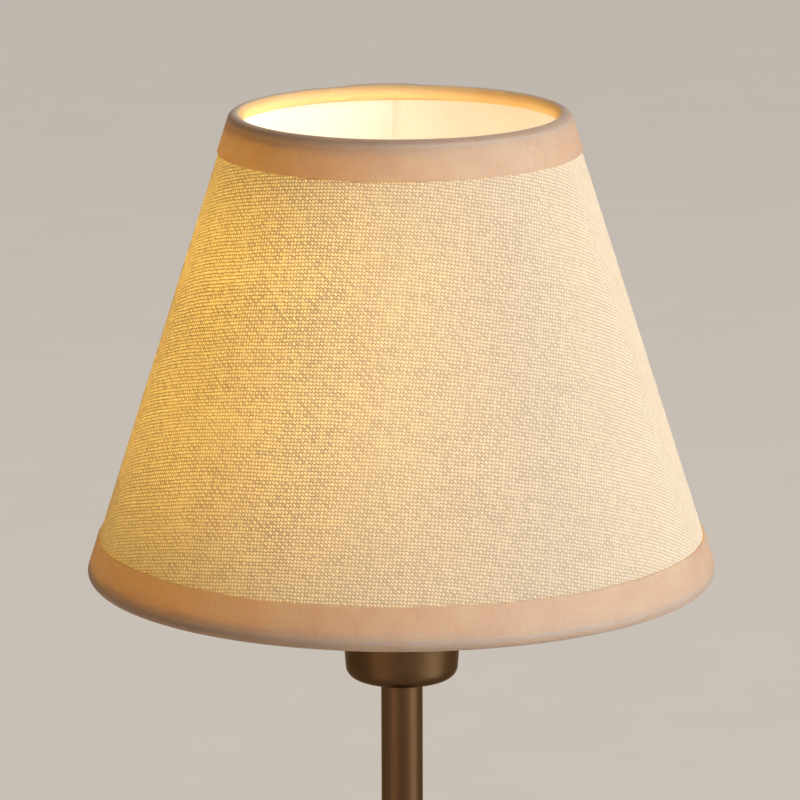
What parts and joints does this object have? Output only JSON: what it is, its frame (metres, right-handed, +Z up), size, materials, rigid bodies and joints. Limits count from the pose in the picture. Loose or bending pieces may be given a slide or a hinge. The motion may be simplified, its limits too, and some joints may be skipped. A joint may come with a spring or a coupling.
{
  "type": "candle lamp with shade",
  "caption": "Small table lamp: a tapered linen shade with taped edges clips onto a candle bulb above a dark bronze cup, slim stem and round weighted base.",
  "frame": {"origin": "centre of the base's underside, on the surface that the lamp stands on", "axes": "+Z up along the stem, -Y towards the front, the cable inlet at the back at +Y"},
  "size_m": [0.15, 0.15, 0.3486],
  "materials": {
    "bronze": "dark antique bronze, brushed, satin lacquer",
    "cast_iron": "raw casting with a thin black paint",
    "felt": "dense dark felt",
    "bush": "dark brown moulded",
    "zinc_steel": "bright zinc plate",
    "phenolic": "dark phenolic moulding, satin",
    "porcelain": "unglazed white",
    "brass_contact": "bare rolled brass",
    "ivory_sleeve": "ivory, satin",
    "nickel_cap": "rolled, bright",
    "cap_insulator": "black, glossy",
    "solder": "dull solder",
    "bulb_glass": "clear",
    "mount_glass": "clear, thick",
    "filament": "phosphor coating, lit",
    "lead_wire": "thin bare wire",
    "linen": "natural linen, plain weave with slubs, laminated",
    "lining": "translucent white film",
    "tape": "smooth taupe cotton tape",
    "hoop_wire": "white coated wire",
    "clip_wire": "nickel plated spring wire"
  },
  "bodies": {
    "lamp_stand": {"base_cover": "bronze", "base_weight": "cast_iron", "base_pad": "felt", "cable_bush": "bush", "base_washer": "zinc_steel", "base_nut": "zinc_steel", "base_nipple": "zinc_steel", "base_collar": "bronze", "stem_tube": "bronze", "top_nipple": "zinc_steel", "lamp_cup": "bronze", "cup_washer": "zinc_steel", "cup_nut": "zinc_steel", "candle_sleeve": "ivory_sleeve", "holder_base": "phenolic", "holder_body": "phenolic", "holder_insulator": "porcelain", "terminal_screws": "zinc_steel", "holder_thread_shell": "brass_contact", "holder_centre_contact": "brass_contact"},
    "bulb": {"bulb_cap": "nickel_cap", "bulb_insulator": "cap_insulator", "bulb_tip_contact": "solder", "bulb_glass": "bulb_glass", "bulb_mount": "mount_glass", "bulb_filaments": "filament", "bulb_leads": "lead_wire"},
    "shade": {"shade_cover": "linen", "shade_lining": "lining", "top_trim": "tape", "bottom_trim": "tape", "top_ring": "hoop_wire", "bottom_ring": "hoop_wire", "clip_arms": "clip_wire", "clip_loops": "clip_wire"}
  },
  "joints": [
    {"name": "bulb_unscrew", "type": "slide", "parent": "lamp_stand", "child": "bulb", "axis": [0, 0, 1], "range_m": [0, 0.03]},
    {"name": "shade_lift", "type": "slide", "parent": "bulb", "child": "shade", "axis": [0, 0, 1], "range_m": [0, 0.11]}
  ]
}
